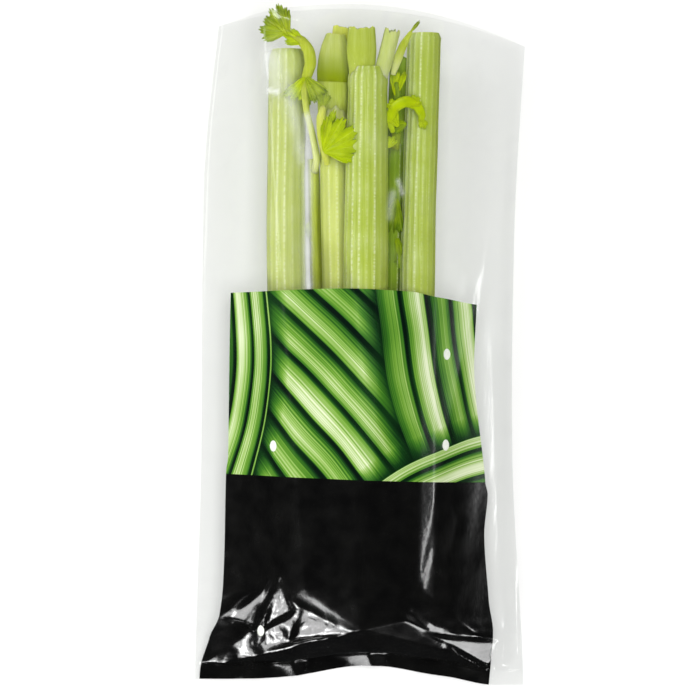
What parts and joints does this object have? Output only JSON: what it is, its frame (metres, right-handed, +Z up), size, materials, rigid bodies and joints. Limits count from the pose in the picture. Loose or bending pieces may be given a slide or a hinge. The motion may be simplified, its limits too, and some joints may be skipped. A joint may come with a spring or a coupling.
{
  "type": "head of celery in a film sleeve",
  "caption": "Trimmed head of celery with ribbed stalks and small leafy shoots, lying on its back in an open-topped clear film sleeve.",
  "frame": {"origin": "on the resting plane, under the middle of the bounding box", "axes": "+Y from the sealed end, where the crown is, to the sleeve's open mouth, along the stalks; +Z up from the table to the printed front; +X across, to the right when the front is seen with the mouth up"},
  "size_m": [0.185, 0.377, 0.059],
  "materials": {
    "stalk_skin": "waxy, slightly glossy",
    "inner_stalk_skin": "waxy, slightly glossy",
    "leafy_shoot": "matte leaf",
    "crown_flesh": "matte, cut",
    "film": "clear glossy film, printed on the lower front"
  },
  "bodies": {
    "root": {"crown": "crown_flesh", "stalk_left": "stalk_skin", "stalk_centre": "stalk_skin", "stalk_right": "stalk_skin", "stalk_back_left": "stalk_skin", "stalk_back_centre": "stalk_skin", "stalk_back_right": "stalk_skin", "stalk_centre_left": "inner_stalk_skin", "stalk_heart": "inner_stalk_skin", "left_shoot": "leafy_shoot", "heart_shoot": "leafy_shoot", "sleeve": "film"}
  },
  "joints": []
}
